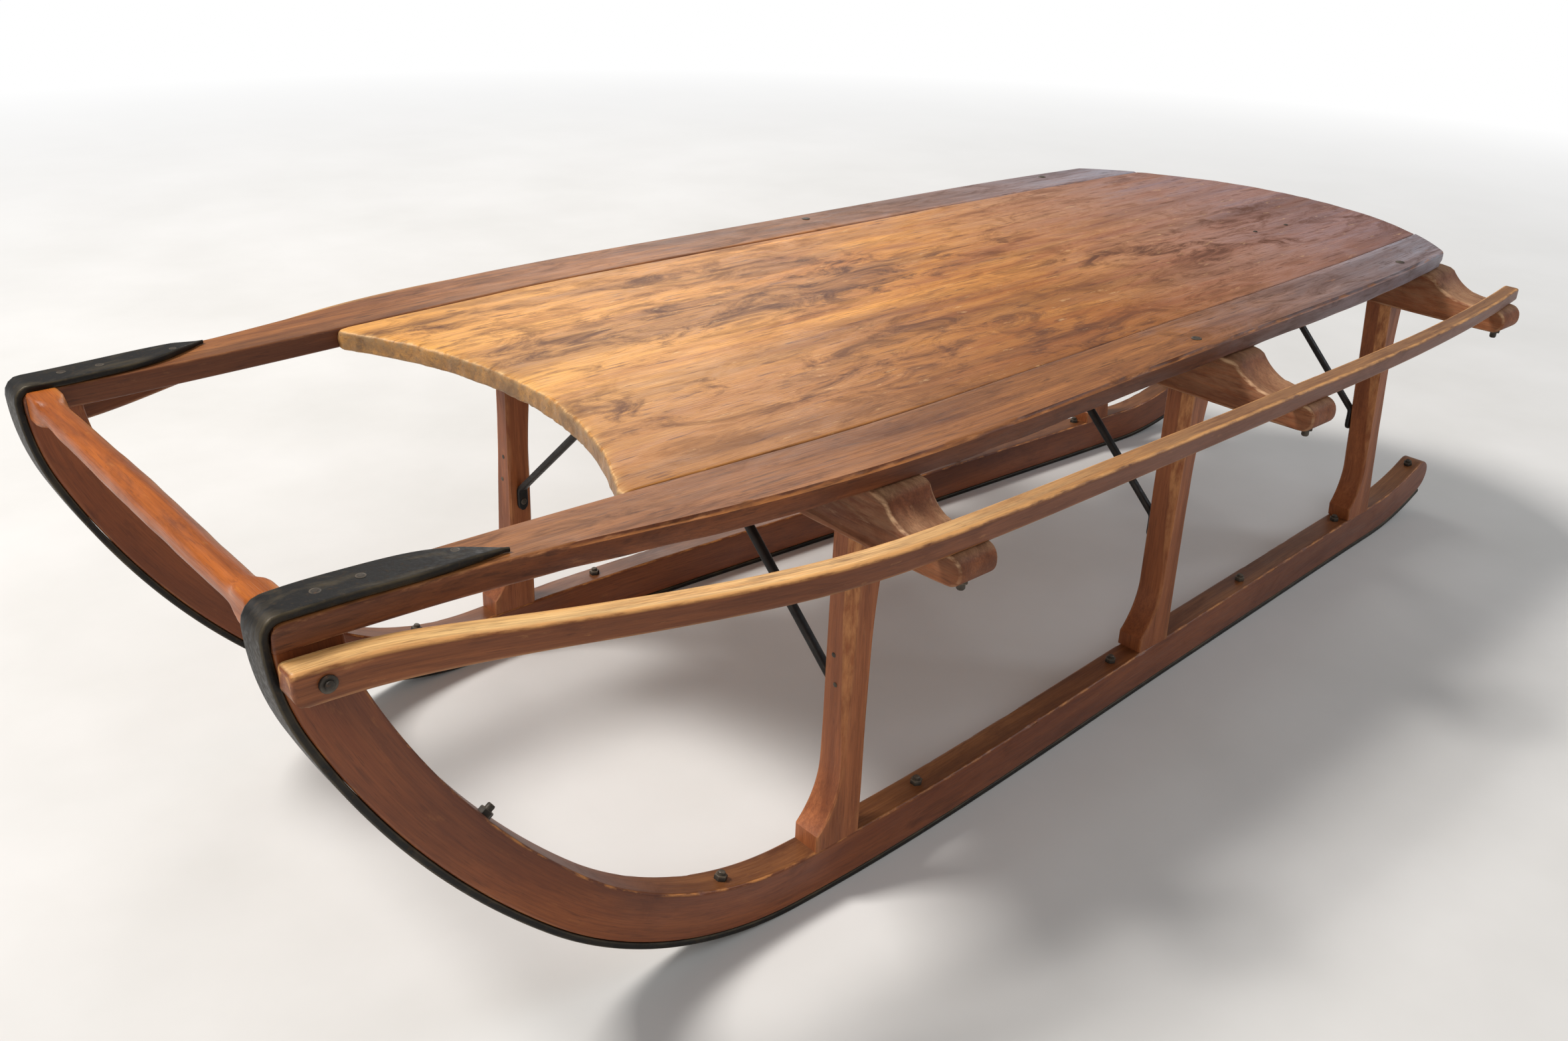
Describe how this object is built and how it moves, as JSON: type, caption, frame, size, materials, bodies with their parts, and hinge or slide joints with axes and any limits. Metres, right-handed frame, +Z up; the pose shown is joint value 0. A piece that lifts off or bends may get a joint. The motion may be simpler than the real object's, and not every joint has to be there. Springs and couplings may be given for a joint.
{
  "type": "wooden coasting sled",
  "caption": "Long wooden coasting sled: bowed deck and rails on benches and posts, curved runners with iron shoes, fender rails, iron braces and a nose bar. Is towed, pulled or carried.",
  "frame": {"origin": "on the ground under the middle of the overall box, between the two runners", "axes": "+X towards the nose, +Y to the sled's left, +Z up"},
  "size_m": [1.663, 0.78, 0.4263],
  "materials": {
    "deck_wood": "worn varnish, stained and scuffed",
    "rail_wood": "worn, grey-brown on top",
    "runner_wood": "old red-brown varnish",
    "bench_wood": "bare and worn at the ends",
    "post_wood": "old orange-brown varnish",
    "fender_wood": "worn varnish, rubbed arrises",
    "bar_wood": "glossy old varnish",
    "shoe_iron": "black iron, rubbed grey on the tongue",
    "brace_iron": "black painted iron"
  },
  "bodies": {
    "root": {"bench_front": "bench_wood", "bench_middle": "bench_wood", "bench_rear": "bench_wood", "brace_front_left": "brace_iron", "brace_front_right": "brace_iron", "brace_middle_left": "brace_iron", "brace_middle_right": "brace_iron", "brace_rear_left": "brace_iron", "brace_rear_right": "brace_iron", "deck_board": "deck_wood", "fender_rail_left": "fender_wood", "fender_rail_right": "fender_wood", "nose_bar": "bar_wood", "post_front_left": "post_wood", "post_front_right": "post_wood", "post_middle_left": "post_wood", "post_middle_right": "post_wood", "post_rear_left": "post_wood", "post_rear_right": "post_wood", "runner_left": "runner_wood", "runner_right": "runner_wood", "shoe_left": "shoe_iron", "shoe_right": "shoe_iron", "side_rail_left": "rail_wood", "side_rail_right": "rail_wood"}
  },
  "joints": []
}
